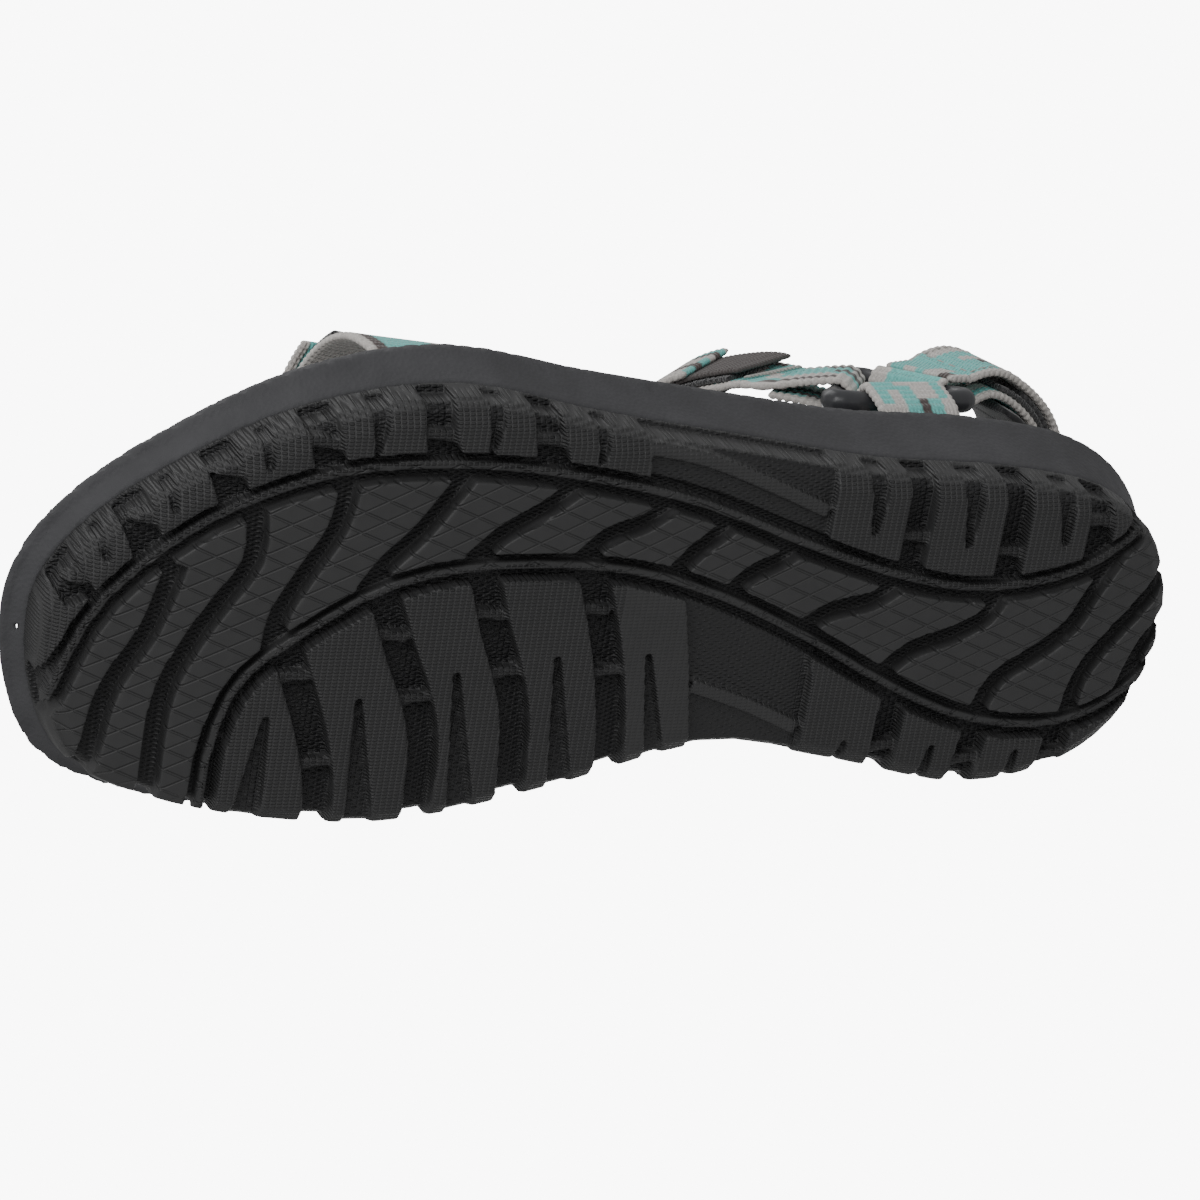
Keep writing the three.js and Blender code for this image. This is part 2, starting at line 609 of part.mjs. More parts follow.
function toeRoute() {
  const from = along(TOE_STRAP_PLACE.lateral);
  const to = along(TOE_STRAP_PLACE.medial);
  const left = edge(from, -1) + 0.4;
  const right = edge(to, 1) - 0.4;
  const pairs = [];
  const steps = 12;
  for (let i = 0; i <= steps; i += 1) {
    const s = i / steps;
    const angle = Math.PI * s;
    const x = from + (to - from) * s;
    const y = (left + right) / 2 - Math.cos(angle) * (right - left) / 2;
    const z = rimTop(x) + 0.5 + Math.sin(angle) ** 0.85 * TOE_ARCH;
    pairs.push([vec(x, y, z), vec(1, 0.1, -0.25 * Math.cos(angle) * 0.4)]);
  }
  return { route: makeRoute(pairs), from, to };
}

// ---- Assembly -------------------------------------------------------------------------------

const COLOURS = {
  rubber: [0x2b2b2c, 0.6], foam: [0x47474a, 0.8], footbed: [0x3a3a3c, 0.85], webbing: [0x6fb5b2, 0.9],
  lining: [0x252427, 0.95], tape: [0x19191b, 0.95], grosgrain: [0x6c6866, 0.85], ring: [0x2f3033, 0.35],
  thread: [0xb5b0aa, 0.8],
};

const sandal = new THREE.Group();

function piece(name, geometry, finish) {
  const [color, roughness] = COLOURS[finish];
  const material = new THREE.MeshStandardMaterial({ color, roughness, metalness: 0 });
  const mesh = new THREE.Mesh(geometry, material);
  mesh.name = name;
  sandal.add(mesh);
}

const toe = toeRoute();
const TOE_HINGE = 0.75;        // share of the way where the adjusting end starts to lift
const TOE_LOWER_END = 0.71;
const toeLower = [...rootOf(toe.from, -1), ...stationsOn(toe.route, 0.04, TOE_LOWER_END, 16, 0)];
const toeRamp = (u) => TAIL_LIFT * Math.sin(Math.min((1 - u) / (1 - TOE_HINGE), 1) * Math.PI / 2);
const toeUpper = [...rootOf(toe.to, 1), ...stationsOn(toe.route, 0.96, TOE_HINGE + 0.003, 7, toeRamp)];
const quarters = { lateral: quarterStrap(-1), medial: quarterStrap(1) };

// Room that the webbing takes in the sole. The footbed is also open from there to its edge.
const passage = (stations, width) =>
  toManifold(ribbon(stations, width + 2 * STRAP_CLEARANCE, WEBBING + 2 * STRAP_CLEARANCE));
const rooted = 5;
const passages = [
  [passage(toeLower.slice(0, rooted + 1), WIDE_WEBBING), -1],
  [passage(toeUpper.slice(0, rooted + 1), WIDE_WEBBING), 1],
  [passage(quarters.lateral.slice(0, rooted + 1), NARROW_WEBBING), -1],
  [passage(quarters.medial.slice(0, rooted + 1), NARROW_WEBBING), 1],
];
const slots = join(passages.map(([room]) => room));
const toEdge = join(passages.map(([room, side]) => room.translate([0, side * WEBBING, 0])));

piece('outsole', makeOutsole(), 'rubber');
piece('midsole', makeMidsole(slots), 'foam');
piece('footbed', makeFootbed(slots.add(toEdge)), 'footbed');

piece('toe_strap_lateral', ribbon(toeLower, WIDE_WEBBING, WEBBING), 'webbing');
piece('toe_strap_medial', ribbon(toeUpper, WIDE_WEBBING, WEBBING), 'webbing');
const toePart = (name, from, to, steps, lift, width, thickness, finish) =>
  piece(name, ribbon(stationsOn(toe.route, from, to, steps, lift), width, thickness), finish);
toePart('toe_loop_patch', 0.17, 0.66, 12, LOOP_LIFT, WIDE_WEBBING - 3, PATCH, 'tape');
toePart('toe_hook_patch', 0.3, 0.62, 9, HOOK_LIFT, WIDE_WEBBING - 4, PATCH, 'tape');
toePart('toe_tail', TOE_HINGE - 0.003, 0.25, 14, TAIL_LIFT, WIDE_WEBBING, WEBBING, 'webbing');
toePart('toe_pull_tab', 0.285, 0.19, 4, HOOK_LIFT + 0.1, WIDE_WEBBING - 7, PATCH, 'grosgrain');

for (const side of ['lateral', 'medial']) {
  piece(`ring_${side}`, makeRing(RINGS[side]), 'ring');
  piece(`quarter_strap_${side}`, ribbon(quarters[side], NARROW_WEBBING, WEBBING), 'webbing');
}

// An ankle strap with its tapes, adjusting end, pull tab and padding.
function ankleSet(name, { route, base }, turned, marks) {
  const part = (suffix, from, to, steps, lift, width, thickness, finish) =>
    piece(`${name}_${suffix}`, ribbon(stationsOn(route, from, to, steps, lift), width, thickness), finish);
  const overBar = (u) => TAIL_LIFT + (BAR_REACH * 2 - 0.6 - TAIL_LIFT) * Math.max(0, (u - 0.82) / 0.18);
  piece(`${name}_strap`, ribbon(base, NARROW_WEBBING, WEBBING), 'webbing');
  part('loop_patch', marks.loopFrom, 0.86, 18, LOOP_LIFT, NARROW_WEBBING - 2, PATCH, 'tape');
  part('hook_patch', marks.hookFrom, 0.8, 14, HOOK_LIFT, NARROW_WEBBING - 3, PATCH, 'tape');
  const tail = [beside(turned, 0.5 * BAR_REACH, BAR_REACH + 0.25), ...stationsOn(route, 0.975, marks.tip, 20, overBar)];
  piece(`${name}_tail`, ribbon(tail, NARROW_WEBBING, WEBBING), 'webbing');
  part('pull_tab', marks.hookFrom - 0.012, marks.tabEnd, 6, HOOK_LIFT + 0.1, NARROW_WEBBING - 3, PATCH, 'grosgrain');
  part('pad', marks.padFrom, marks.padTo, 16, PAD_LIFT, NARROW_WEBBING + 5, PAD, 'lining');
  part('bar_tack', marks.tack, marks.tack + marks.tackSpan, 1, TACK_LIFT, NARROW_WEBBING - 4, TACK.thickness, 'thread');
}

ankleSet('instep', instepStrap(), RINGS.medial.frontBar, {
  loopFrom: 0.1, hookFrom: 0.29, tip: 0.2, tabEnd: 0.065, padFrom: 0.2, padTo: 0.84, tack: 0.03, tackSpan: 0.018,
});
ankleSet('heel', heelStrap(), RINGS.lateral.rearBar, {
  loopFrom: 0.62, hookFrom: 0.7, tip: 0.66, tabEnd: 0.6, padFrom: 0.16, padTo: 0.84, tack: 0.05, tackSpan: 0.016,
});

// The origin is the middle of the sandal's footprint, on the ground.
const box = new THREE.Box3().setFromObject(sandal);
sandal.position.set(-(box.min.x + box.max.x) / 2, -(box.min.y + box.max.y) / 2, -box.min.z);

export default sandal;
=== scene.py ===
import bisect
import math
import random

import bmesh
import bpy
from mathutils import Matrix, Vector, noise


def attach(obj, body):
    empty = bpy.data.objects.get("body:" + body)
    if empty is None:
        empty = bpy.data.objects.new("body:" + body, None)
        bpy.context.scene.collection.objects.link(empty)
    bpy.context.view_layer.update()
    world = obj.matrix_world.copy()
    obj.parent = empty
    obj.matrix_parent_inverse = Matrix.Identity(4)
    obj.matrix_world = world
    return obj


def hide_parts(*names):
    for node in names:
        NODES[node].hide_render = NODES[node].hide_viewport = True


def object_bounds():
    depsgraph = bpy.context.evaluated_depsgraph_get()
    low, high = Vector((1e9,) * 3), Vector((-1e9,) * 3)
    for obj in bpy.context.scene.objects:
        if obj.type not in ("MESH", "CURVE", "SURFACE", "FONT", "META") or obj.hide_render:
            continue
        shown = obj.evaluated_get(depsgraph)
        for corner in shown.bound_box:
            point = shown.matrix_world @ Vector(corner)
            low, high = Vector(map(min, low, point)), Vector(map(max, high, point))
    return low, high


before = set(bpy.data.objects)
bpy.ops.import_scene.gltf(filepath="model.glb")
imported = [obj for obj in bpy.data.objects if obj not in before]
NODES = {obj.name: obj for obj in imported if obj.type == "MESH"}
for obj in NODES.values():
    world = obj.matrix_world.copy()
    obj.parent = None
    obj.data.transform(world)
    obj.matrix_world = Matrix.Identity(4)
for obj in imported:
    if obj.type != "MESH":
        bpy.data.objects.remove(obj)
cad_box = [list(map(float, corner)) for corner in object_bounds()]

MM = 0.001
low, high = (Vector(c) for c in cad_box)
LENGTH = high.x - low.x
ROOT = "sandal"

# Webbing and tape sizes, as the CAD solids have them.
WEBBING = 1.6 * MM
NARROW = 20 * MM
WIDE = 25 * MM
TAPE = 1.1 * MM
PAD = 3.2 * MM
TACK = 0.5 * MM
RIB = 1.75 * MM          # from one weft rib of the webbing to the next

# A line through the foot, which every strap's outer face looks away from.
FOOT_Y = 6.6 * MM
FOOT_Z = 30 * MM


# ---- Camera, light and floor ------------------------------------------------------------------

def rotated_axes(azimuth, elevation, roll):
    """Right, up and backward directions of a camera that looks at the origin."""
    az, el, ro = (math.radians(a) for a in (azimuth, elevation, roll))
    back = Vector((math.sin(az) * math.cos(el), -math.cos(az) * math.cos(el), math.sin(el)))
    right = (-back).cross(Vector((0, 0, 1))).normalized()
    up = right.cross(-back)
    return (right * math.cos(ro) + up * math.sin(ro), up * math.cos(ro) - right * math.sin(ro), back)


def make_camera():
    """The view of the tread from below and outside, as a long lens sees it from about a metre."""
    right, up, back = rotated_axes(-45.7, -55.05, -41.46)
    aim = Vector((0, 0.0066, 0)) - right * 0.0090 + up * 0.0093
    camera = bpy.data.cameras.new("camera")
    camera.sensor_width = 36
    camera.lens = 150.2
    camera.clip_start = 0.05
    holder = bpy.data.objects.new("camera", camera)
    axes = Matrix((right, up, back)).transposed().to_4x4()
    holder.matrix_world = Matrix.Translation(aim + back * 1.059) @ axes
    bpy.context.scene.collection.objects.link(holder)
    bpy.context.scene.camera = holder
    return right, up, back


def area_light(name, where, power, size):
    lamp = bpy.data.lights.new(name, "AREA")
    lamp.energy = power
    lamp.size = size
    holder = bpy.data.objects.new(name, lamp)
    holder.location = where
    holder.rotation_euler = (-Vector(where)).to_track_quat("-Z", "Y").to_euler()
    bpy.context.scene.collection.objects.link(holder)


def make_stage():
    """A pale floor that only shows from above, soft lamps round the sandal and a white sky."""
    right, up, back = make_camera()
    world = bpy.data.worlds.new("studio")
    world.use_nodes = True
    tree = world.node_tree
    light = tree.nodes["Background"]
    light.inputs["Strength"].default_value = 0.42
    backdrop = tree.nodes.new("ShaderNodeBackground")
    backdrop.inputs["Strength"].default_value = 9.0
    for sky in (light, backdrop):
        sky.inputs["Color"].default_value = (1, 1, 1, 1)
    rays = tree.nodes.new("ShaderNodeLightPath")
    which = tree.nodes.new("ShaderNodeMixShader")
    tree.links.new(rays.outputs["Is Camera Ray"], which.inputs[0])
    tree.links.new(light.outputs[0], which.inputs[1])
    tree.links.new(backdrop.outputs[0], which.inputs[2])
    tree.links.new(which.outputs[0], tree.nodes["World Output"].inputs["Surface"])
    bpy.context.scene.world = world

    area_light("below_front", back * 0.9 + up * 0.45 - right * 0.2, 3.4, 0.45)
    area_light("below_side", back * 0.8 - right * 0.8 + up * 0.1, 1.6, 0.6)
    area_light("above", (-0.3, -0.5, 0.9), 4, 0.8)
    area_light("above_back", (0.5, 0.6, 0.7), 3, 0.8)

    mesh = bpy.data.meshes.new("floor")
    reach = 1.5
    corners = [(-reach, -reach, 0), (reach, -reach, 0), (reach, reach, 0), (-reach, reach, 0)]
    mesh.from_pydata(corners, [], [(0, 1, 2, 3)])
    floor = bpy.data.objects.new("floor", mesh)
    floor.location.z = -0.0002
    bpy.context.scene.collection.objects.link(floor)
    material = bpy.data.materials.new("floor")
    material.use_nodes = True
    nodes, links = material.node_tree.nodes, material.node_tree.links
    nodes.clear()
    paint = nodes.new("ShaderNodeBsdfDiffuse")
    paint.inputs["Color"].default_value = (0.82, 0.82, 0.82, 1)
    clear = nodes.new("ShaderNodeBsdfTransparent")
    which = nodes.new("ShaderNodeNewGeometry")
    mix = nodes.new("ShaderNodeMixShader")
    out = nodes.new("ShaderNodeOutputMaterial")
    links.new(which.outputs["Backfacing"], mix.inputs[0])
    links.new(paint.outputs[0], mix.inputs[1])
    links.new(clear.outputs[0], mix.inputs[2])
    links.new(mix.outputs[0], out.inputs["Surface"])
    mesh.materials.append(material)
    floor.visible_shadow = False
    floor.visible_diffuse = False
    floor.visible_glossy = False


make_stage()


# ---- Materials --------------------------------------------------------------------------------

class Paint:
    """Builds a procedural material on one Principled shader."""

    def __init__(self, name, roughness, **fixed):
        self.material = bpy.data.materials.new(name)
        self.material.use_nodes = True
        self.nodes = self.material.node_tree.nodes
        self.links = self.material.node_tree.links
        self.shader = self.nodes["Principled BSDF"]
        self.shader.inputs["Roughness"].default_value = roughness
        for socket, value in fixed.items():
            self.shader.inputs[socket.replace("_", " ")].default_value = value
        self.place = self.nodes.new("ShaderNodeTexCoord").outputs["Object"]
        self.height = None

    def node(self, kind, **values):
        made = self.nodes.new(kind)
        for key, value in values.items():
            if key in made.inputs:
                made.inputs[key].default_value = value
            else:
                setattr(made, key, value)
        return made

    def link(self, source, target):
        self.links.new(source, target)

    def noise(self, scale, detail=4.0, vector=None):
        made = self.node("ShaderNodeTexNoise", Scale=scale, Detail=detail)
        self.link(vector or self.place, made.inputs["Vector"])
        return made.outputs["Fac"]

    def voronoi(self, scale, feature="F1"):
        made = self.node("ShaderNodeTexVoronoi", Scale=scale)
        made.feature = feature
        self.link(self.place, made.inputs["Vector"])
        return made.outputs["Distance"]

    def math(self, operation, a, b=None):
        made = self.node("ShaderNodeMath", operation=operation)
        for value, socket in ((a, made.inputs[0]), (b, made.inputs[1])):
            if value is None:
                continue
            if isinstance(value, (int, float)):
                socket.default_value = value
            else:
                self.link(value, socket)
        return made.outputs[0]

    def axis(self, name):
        split = self.node("ShaderNodeSeparateXYZ")
        self.link(self.place, split.inputs[0])
        return split.outputs[name]

    def stripes(self, coordinate, pitch):
        """0 to 1 and back, once every pitch."""
        turn = self.math("MULTIPLY", coordinate, 2 * math.pi / pitch)
        return self.math("MULTIPLY_ADD", self.math("SINE", turn), 0.5)

    def attribute(self, name):
        made = self.node("ShaderNodeAttribute")
        made.attribute_name = name
        return made

    def shade(self, dark, light, factor):
        ramp = self.nodes.new("ShaderNodeValToRGB")
        ramp.color_ramp.elements[0].color = (*dark, 1)
        ramp.color_ramp.elements[0].position = 0.3
        ramp.color_ramp.elements[1].color = (*light, 1)
        ramp.color_ramp.elements[1].position = 0.7
        self.link(factor, ramp.inputs[0])
        return ramp.outputs["Color"]

    def mix(self, factor, a, b, blend="MIX"):
        made = self.node("ShaderNodeMix")
        made.data_type = "RGBA"
        made.blend_type = blend
        for value, socket in ((factor, made.inputs[0]), (a, made.inputs[6]), (b, made.inputs[7])):
            if isinstance(value, (int, float)):
                socket.default_value = value
            elif isinstance(value, tuple):
                socket.default_value = (*value, 1)
            else:
                self.link(value, socket)
        return made.outputs[2]

    def colour(self, output):
        self.link(output, self.shader.inputs["Base Color"])

    def rough(self, factor, smooth, dull):
        scaled = self.node("ShaderNodeMapRange")
        scaled.inputs["To Min"].default_value = smooth
        scaled.inputs["To Max"].default_value = dull
        self.link(factor, scaled.inputs["Value"])
        self.link(scaled.outputs[0], self.shader.inputs["Roughness"])

    def bump(self, height, distance, strength=1.0):
        made = self.node("ShaderNodeBump", Distance=distance, Strength=strength)
        self.link(height, made.inputs["Height"])
        if self.height is not None:
            self.link(self.height, made.inputs["Normal"])
        self.height = made.outputs["Normal"]
        self.link(self.height, self.shader.inputs["Normal"])


def rubber_paint():
    """Moulded tread rubber: ribbed side lugs, a lozenge pattern on the middle band, bare grooves whose floors
    are darkened to near-black as painted shade.
    """
    paint = Paint("outsole_rubber", 0.55, Specular_IOR_Level=0.45)
    cloud = paint.noise(60, 5)
    grain = paint.noise(2500, 2)
    zone = paint.attribute("zone")
    split = paint.node("ShaderNodeSeparateXYZ")
    paint.link(zone.outputs["Vector"], split.inputs[0])
    # depth marks the groove floors: they get painted shade in the colour and fine mesh lines in the bump.
    ribbed, lozenge, depth = split.outputs
    x, y = paint.axis("X"), paint.axis("Y")
    face = paint.mix(cloud, (0.03, 0.03, 0.031), (0.044, 0.044, 0.045))
    worn = paint.mix(paint.noise(400, 3), face, (0.07, 0.07, 0.07))
    lit = paint.mix(0.35, face, worn)
    # Painted shade: the groove floors are mixed towards near-black by how deep they lie.
    paint.colour(paint.mix(depth, lit, (0.014, 0.014, 0.015)))
    paint.rough(grain, 0.42, 0.62)
    columns = paint.math("MINIMUM", paint.math("MULTIPLY", paint.stripes(x, 1.35 * MM), 2.2), 1.0)
    ribs = paint.math("MULTIPLY", paint.stripes(y, 0.8 * MM), columns)
    paint.bump(paint.math("MULTIPLY", ribs, ribbed), 0.55 * MM, 1.0)
    steep = paint.math("ADD", paint.math("MULTIPLY", x, 0.5), y)
    flat = paint.math("SUBTRACT", paint.math("MULTIPLY", x, 0.42), y)
    cross = paint.math("MAXIMUM", paint.stripes(steep, 4.6 * MM), paint.stripes(flat, 4.6 * MM))
    lines = paint.math("MAXIMUM", paint.math("SUBTRACT", cross, 0.93), 0.0)
    furrow = paint.math("MULTIPLY", lines, -14.0)
    paint.bump(paint.math("MULTIPLY", furrow, lozenge), 0.45 * MM, 1.0)
    mesh_lines = paint.math("MULTIPLY", paint.stripes(steep, 1.1 * MM), paint.stripes(flat, 1.1 * MM))
    paint.bump(paint.math("MULTIPLY", mesh_lines, depth), 0.35 * MM, 0.8)
    paint.bump(grain, 0.02 * MM, 0.4)
    return paint.material


def foam_paint(name, dark, light, scale):
    """Moulded foam with a pebbled skin."""
    paint = Paint(name, 0.7, Specular_IOR_Level=0.35)
    paint.colour(paint.shade(dark, light, paint.noise(90, 5)))
    paint.rough(paint.noise(300, 3), 0.6, 0.82)
    paint.bump(paint.voronoi(scale), 0.22 * MM, 0.5)
    paint.bump(paint.noise(3000, 2), 0.03 * MM, 0.4)
    return paint.material


def ring_paint():
    """Smooth dark moulded plastic with faint flow marks and scuffs."""
    paint = Paint("ring_plastic", 0.3, Specular_IOR_Level=0.5)
    paint.colour(paint.shade((0.04, 0.041, 0.045), (0.052, 0.053, 0.058), paint.noise(120, 3)))
    paint.rough(paint.noise(500, 6), 0.24, 0.42)
    paint.bump(paint.noise(1500, 3), 0.01 * MM, 0.5)
    return paint.material


def cloth_paint(name, roughness=0.9, sheen=0.3):
    """Woven webbing or tape: yarn colour comes with the mesh, yarn bumps from its own length and width."""
    paint = Paint(name, roughness, Specular_IOR_Level=0.2, Sheen_Weight=sheen, Sheen_Roughness=0.5)
    yarn = paint.attribute("yarn")
    fluff = paint.noise(1800, 4)
    speckle = paint.shade((0.4, 0.4, 0.4), (1, 1, 1), fluff)
    paint.colour(paint.mix(0.55, yarn.outputs["Color"], speckle, "MULTIPLY"))
    weave = paint.attribute("weave")
    split = paint.node("ShaderNodeSeparateXYZ")
    paint.link(weave.outputs["Vector"], split.inputs[0])
    lengthwise, crosswise = split.outputs[0], split.outputs[1]
    twist = paint.math("MULTIPLY", paint.stripes(crosswise, 0.9 * MM), paint.stripes(lengthwise, RIB))
    paint.bump(twist, 0.3 * MM, 0.9)
    paint.bump(fluff, 0.06 * MM, 0.7)
    return paint.material


def pile_paint(name, base, scale):
    """Fuzzy or hooked tape."""
    paint = Paint(name, 0.95, Specular_IOR_Level=0.15, Sheen_Weight=0.5, Sheen_Roughness=0.6)
    lighter = tuple(3 * c for c in base)
    paint.colour(paint.shade(base, lighter, paint.noise(scale, 6)))
    paint.bump(paint.voronoi(scale), 0.5 * MM, 0.8)
    return paint.material


def knit_paint():
    """Fine knitted lining over the padding."""
    paint = Paint("lining", 0.92, Specular_IOR_Level=0.2, Sheen_Weight=0.4, Sheen_Roughness=0.5)
    paint.colour(paint.shade((0.02, 0.02, 0.022), (0.045, 0.044, 0.047), paint.noise(700, 4)))
    rows = paint.stripes(paint.axis("Z"), 0.9 * MM)
    wales = paint.stripes(paint.axis("Y"), 0.7 * MM)
    paint.bump(paint.math("MULTIPLY", rows, wales), 0.2 * MM, 0.6)
    return paint.material


def thread_paint():
    """Light polyester thread."""
    paint = Paint("thread", 0.75, Sheen_Weight=0.3)
    paint.colour(paint.shade((0.3, 0.29, 0.27), (0.5, 0.48, 0.45), paint.noise(2500, 3)))
    paint.bump(paint.noise(5000, 2), 0.03 * MM, 0.6)
    return paint.material


PAINTS = {
    "outsole_rubber": rubber_paint(),
    "midsole_foam": foam_paint("midsole_foam", (0.062, 0.062, 0.066), (0.078, 0.078, 0.083), 1100),
    "footbed_foam": foam_paint("footbed_foam", (0.04, 0.04, 0.043), (0.055, 0.055, 0.058), 700),
    "ring_plastic": ring_paint(),
    "webbing": cloth_paint("webbing"),
    "grosgrain": cloth_paint("grosgrain", 0.85, 0.15),
    "loop_tape": pile_paint("loop_tape", (0.012, 0.012, 0.013), 1500),
    "hook_tape": pile_paint("hook_tape", (0.015, 0.015, 0.016), 900),
    "lining": knit_paint(),
    "thread": thread_paint(),
}


# ---- Pieces -----------------------------------------------------------------------------------

def mesh_piece(name, vertices, faces, slot, body, replaced=()):
    mesh = bpy.data.meshes.new(name)
    mesh.from_pydata(vertices, [], faces)
    return finish_piece(name, mesh, slot, body, replaced)


def finish_piece(name, mesh, slot, body, replaced=()):
    mesh.materials.clear()
    mesh.materials.append(PAINTS[slot])
    for face in mesh.polygons:
        face.use_smooth = True
    piece = bpy.data.objects.new(name, mesh)
    bpy.context.scene.collection.objects.link(piece)
    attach(piece, body)
    if replaced:
        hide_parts(*replaced)
    return piece


def world_mesh(node):
    """A copy of a CAD node's mesh, with its place in its vertices."""
    source = NODES[node]
    mesh = source.data.copy()
    mesh.transform(source.matrix_world)
    return mesh


def remeshed(mesh, voxel, smoothing):
    """The same shape in even small faces, its sharp edges eased."""
    worker = bpy.data.objects.new("worker", mesh)
    bpy.context.scene.collection.objects.link(worker)
    remesh = worker.modifiers.new("remesh", "REMESH")
    remesh.mode = "VOXEL"
    remesh.voxel_size = voxel
    ease = worker.modifiers.new("ease", "SMOOTH")
    ease.factor = 0.5
    ease.iterations = smoothing
    graph = bpy.context.evaluated_depsgraph_get()
    result = bpy.data.meshes.new_from_object(worker.evaluated_get(graph))
    bpy.data.objects.remove(worker)
    return result


def curve_points(points, per_span):
    """Points along a Catmull-Rom curve through the given plan points."""
    ends = [points[0] * 2 - points[1], *points, points[-1] * 2 - points[-2]]
    made = []
    for i in range(1, len(ends) - 2):
        a, b, c, d = ends[i - 1:i + 3]
        for k in range(per_span):
            t = k / per_span
            made.append(0.5 * (2 * b + (c - a) * t + (2 * a - 5 * b + 4 * c - d) * t * t
                               + (3 * b - a - 3 * c + d) * t ** 3))
    made.append(points[-1])
    return made


def height_table(points):
    """Reads a curve that runs along the sole as y for an x."""
    xs = [p.x for p in points]
    ys = [p.y for p in points]

    def read(x):
        i = bisect.bisect_right(xs, x)
        if i in (0, len(xs)):
            return ys[min(i, len(ys) - 1)]
        return ys[i - 1] + (ys[i] - ys[i - 1]) * (x - xs[i - 1]) / (xs[i] - xs[i - 1])
    return read


# The two sweeping grooves of the tread, in plan, as the CAD source draws them, moved to this frame.
SWEEP_SHIFT = Vector((0, 6.64))
MEDIAL_SWEEP = [(-93.4, 28), (-89, 9), (-78, -2), (-60, -13.5), (-40, -18), (-18, -18), (0, -15.5), (20, -9),
                (40, 0.5), (60, 11.5), (80, 20.3), (100, 23.5), (116, 20.5), (128, 12), (138, 3)]
LATERAL_SWEEP = [(-127.5, 12), (-119.5, -9), (-103, -26), (-84, -36.3), (-64, -41), (-40, -41), (-15, -37.5),
                 (10, -31.5), (35, -22), (60, -13.8), (80, -10.5), (100, -13), (114, -20), (130, -35)]


def sweep(points):
    return height_table(curve_points([(Vector(p) + SWEEP_SHIFT) * MM for p in points], 8))


# How the tread leaves the ground: the lengths that curve up, and by how much.
FLARE = 4.2 * MM         # the midsole's overhang at each end
SPRING_RUN = 0.32 * 262 * MM
BEVEL_RUN = 0.14 * 262 * MM
TOE_SPRING = 7.6 * MM
HEEL_BEVEL = 3.4 * MM


def make_outsole():
    """The tread with eased edges; each point says which pattern its face carries and how deep it lies, which
    sets where the groove floors get painted shade.
    """
    mesh = remeshed(world_mesh("outsole"), (0.5) * MM, 3)
    upper, lower = sweep(MEDIAL_SWEEP), sweep(LATERAL_SWEEP)
    zone = mesh.attributes.new("zone", "FLOAT_VECTOR", "POINT")
    values = []
    spring_from = low.x + FLARE + SPRING_RUN
    bevel_from = high.x - FLARE - BEVEL_RUN
    for vertex in mesh.vertices:
        x, y, z = vertex.co
        toe = max(0.0, (spring_from - x) / SPRING_RUN)
        heel = max(0.0, (x - bevel_from) / BEVEL_RUN)
        depth = z - TOE_SPRING * toe * toe - HEEL_BEVEL * heel * heel
        deep = min(max((depth - 1.2 * MM) / (1.6 * MM), 0), 1)
        middle = lower(x) < y < upper(x) or x < -0.0934 and y > lower(x)
        side = abs(vertex.normal.z) < 0.6
        panel = -6 * MM < x < 40 * MM and not middle
        ribbed = 0.0 if middle else (0.8 if side or not panel else 0.25)
        # The groove-floor mask carries painted shade into the rubber's colour, besides the fine mesh-line
        # bump and weaker ribs there.
        shaded_groove_floor = 0.0 if side else deep
        values.extend((ribbed * (1 - 0.6 * shaded_groove_floor), float(middle) * (1 - deep), shaded_groove_floor))
    zone.data.foreach_set("vector", values)
    return finish_piece("outsole_rubber", mesh, "outsole_rubber", ROOT, ["outsole"])


def make_midsole():
    """The foam body; small slanted notches run round the outer edge of its rim."""
    mesh = remeshed(world_mesh("midsole"), (0.8) * MM, 3)
    centre = Vector(((low.x + high.x) / 2, (low.y + high.y) / 2, 0))
    top = max(v.co.z for v in mesh.vertices)
    normals = [v.normal.copy() for v in mesh.vertices]
    for vertex, normal in zip(mesh.vertices, normals):
        outward = (vertex.co - centre).xy
        if normal.xy.dot(outward) <= 0 or vertex.co.z < top - 12 * MM:
            continue
        run = vertex.co.x + 0.6 * vertex.co.z
        notch = max(0.0, math.sin(2 * math.pi * run / (4.4 * MM)) - 0.35)
        rim = min(max((rim_height(vertex.co.x) - vertex.co.z), 0), 6 * MM) / (6 * MM)
        near_top = max(0.0, 1 - abs(rim - 0.3) / 0.3)
        vertex.co -= Vector((normal.x, normal.y, 0)) * notch * near_top * 0.9 * MM
    return finish_piece("midsole_foam", mesh, "midsole_foam", ROOT, ["midsole"])


RIM_TABLE = []


def rim_height(x):
    """Top of the midsole's rim at a place along the sole, read from the CAD node."""
    if not RIM_TABLE:
        mesh = world_mesh("midsole")
        cells = 40
        tops = [0.0] * cells
        for v in mesh.vertices:
            cell = min(int((v.co.x - low.x) / LENGTH * cells), cells - 1)
            tops[cell] = max(tops[cell], v.co.z)
        known = [((i + 0.5) / cells * LENGTH + low.x, t) for i, t in enumerate(tops) if t > 0]
        RIM_TABLE.extend(known)
        bpy.data.meshes.remove(mesh)
    for (xa, za), (xb, zb) in zip(RIM_TABLE, RIM_TABLE[1:]):
        if x <= xb:
            share = min(max((x - xa) / (xb - xa), 0), 1)
            return za + (zb - za) * share
    return RIM_TABLE[-1][1]


def make_footbed():
    """The top sole: a cupped surface with wavy grip lines pressed into it."""
    mesh = remeshed(world_mesh("footbed"), (0.8) * MM, 3)
    for vertex in mesh.vertices:
        if vertex.normal.z < 0.8:
            continue
        x, y, z = vertex.co
        if rim_height(x) - z < 0.5 * MM:
            continue
        wave = math.sin(2 * math.pi * (x + 3 * MM * math.sin(2 * math.pi * y / (26 * MM))) / (7 * MM))
        vertex.co.z -= 0.55 * MM * max(0.0, wave - 0.55) / 0.45
    return finish_piece("footbed_foam", mesh, "footbed_foam", ROOT, ["footbed"])


